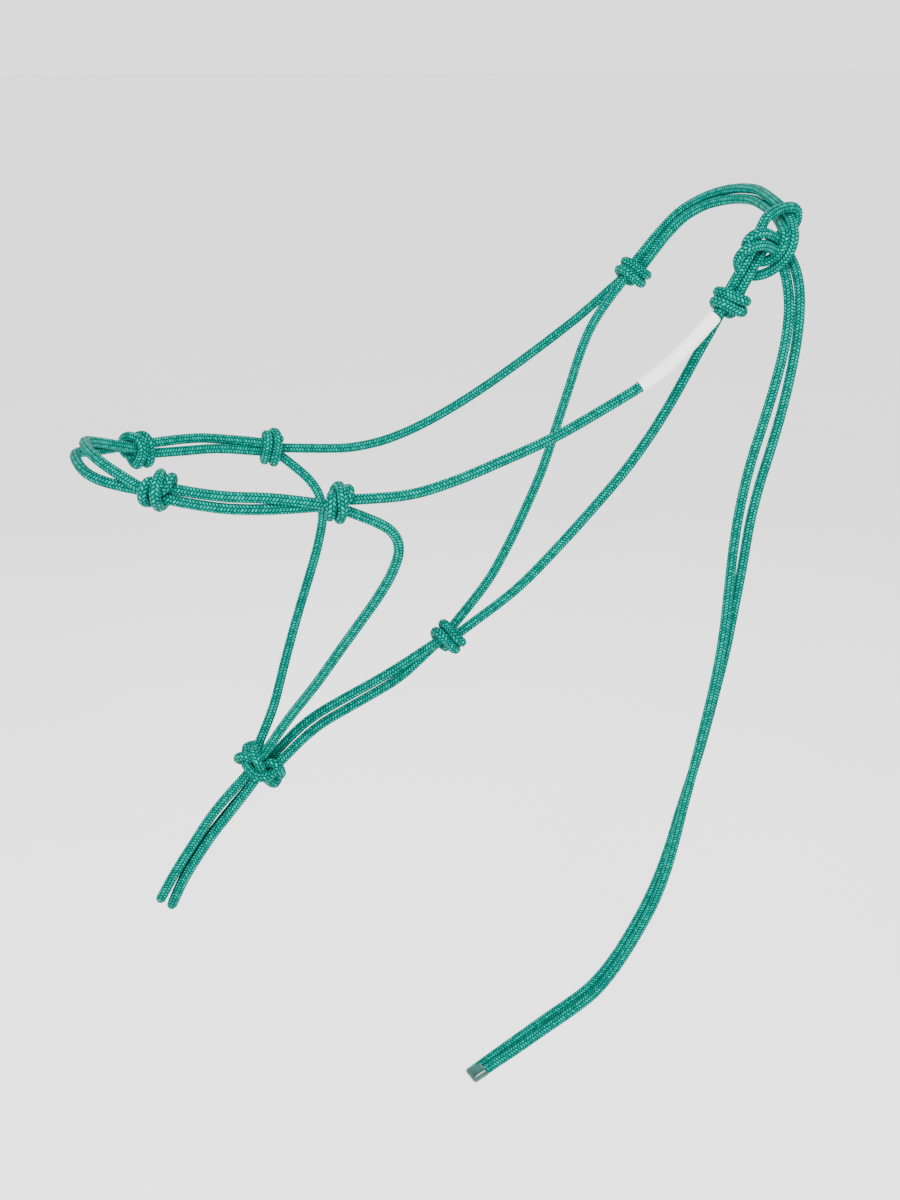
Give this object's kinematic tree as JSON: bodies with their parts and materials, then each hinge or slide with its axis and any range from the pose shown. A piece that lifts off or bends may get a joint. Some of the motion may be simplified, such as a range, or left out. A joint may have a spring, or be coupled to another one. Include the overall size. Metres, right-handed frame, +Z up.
{
  "type": "rope halter",
  "caption": "Hand-knotted rope halter for a horse: doubled noseband, cheek, chin and jowl strands, lead loops under the chin, and a crown tied at the poll with a free tail.",
  "frame": {"origin": "under the crown strands at the poll, on the median plane, where the head carries the halter", "axes": "+Z up, nose towards -X, the horse's left side towards -Y"},
  "size_m": [0.4345, 0.1813, 0.571],
  "materials": {
    "teal_rope_braid": "tightly braided polyester cord, satin",
    "white_vinyl_sleeve": "thin shrunk vinyl sleeve, plain white, no print",
    "green_shrink_cap": "dark green shrunk tube, glossy"
  },
  "bodies": {
    "headpiece": {"nose_knot_left": "teal_rope_braid", "nose_knot_right": "teal_rope_braid", "side_knot_left": "teal_rope_braid", "side_knot_right": "teal_rope_braid", "crown_knot_left": "teal_rope_braid", "crown_knot_right": "teal_rope_braid", "fiador_knot": "teal_rope_braid", "jowl_knot": "teal_rope_braid", "crown_hitch": "teal_rope_braid", "nose_strand_upper": "teal_rope_braid", "nose_strand_lower": "teal_rope_braid", "nose_side_strand_left_upper": "teal_rope_braid", "nose_side_strand_left_lower": "teal_rope_braid", "nose_side_strand_right_upper": "teal_rope_braid", "nose_side_strand_right_lower": "teal_rope_braid", "cheek_strand_left": "teal_rope_braid", "label_sleeve": "white_vinyl_sleeve", "cheek_strand_right": "teal_rope_braid", "chin_strand_left": "teal_rope_braid", "chin_strand_right": "teal_rope_braid", "throat_strand_upper": "teal_rope_braid", "throat_strand_lower": "teal_rope_braid", "jowl_strand_left": "teal_rope_braid", "jowl_strand_right": "teal_rope_braid", "crown_strand_outer": "teal_rope_braid", "crown_strand_inner": "teal_rope_braid", "crown_loop_leg_front": "teal_rope_braid", "crown_loop_leg_rear": "teal_rope_braid", "crown_loop_bight": "teal_rope_braid"},
    "tail_upper": {"tail_upper_leading": "teal_rope_braid", "tail_upper_trailing": "teal_rope_braid"},
    "tail_lower": {"tail_lower_leading": "teal_rope_braid", "tail_lower_trailing": "teal_rope_braid", "tail_cap": "green_shrink_cap"},
    "lead_loop_rear": {"lead_loop_rear": "teal_rope_braid"},
    "lead_loop_front": {"lead_loop_front": "teal_rope_braid"}
  },
  "joints": [
    {"name": "tail_swing", "type": "hinge", "parent": "headpiece", "child": "tail_upper", "pos_m": [-0.0105, -0.084, -0.042], "axis": [0, 1, 0], "range_deg": [-45, 30]},
    {"name": "tail_bend", "type": "hinge", "parent": "tail_upper", "child": "tail_lower", "pos_m": [-0.0555, -0.084, -0.336], "axis": [0, 1, 0], "range_deg": [-40, 25]},
    {"name": "lead_loops_swing", "type": "hinge", "parent": "headpiece", "child": "lead_loop_rear", "pos_m": [-0.329, 0, -0.346], "axis": [0, 1, 0], "range_deg": [-45, 35]},
    {"name": "lead_loops_spread", "type": "hinge", "parent": "lead_loop_rear", "child": "lead_loop_front", "pos_m": [-0.329, 0, -0.346], "axis": [0, 1, 0], "range_deg": [0, 30]}
  ]
}
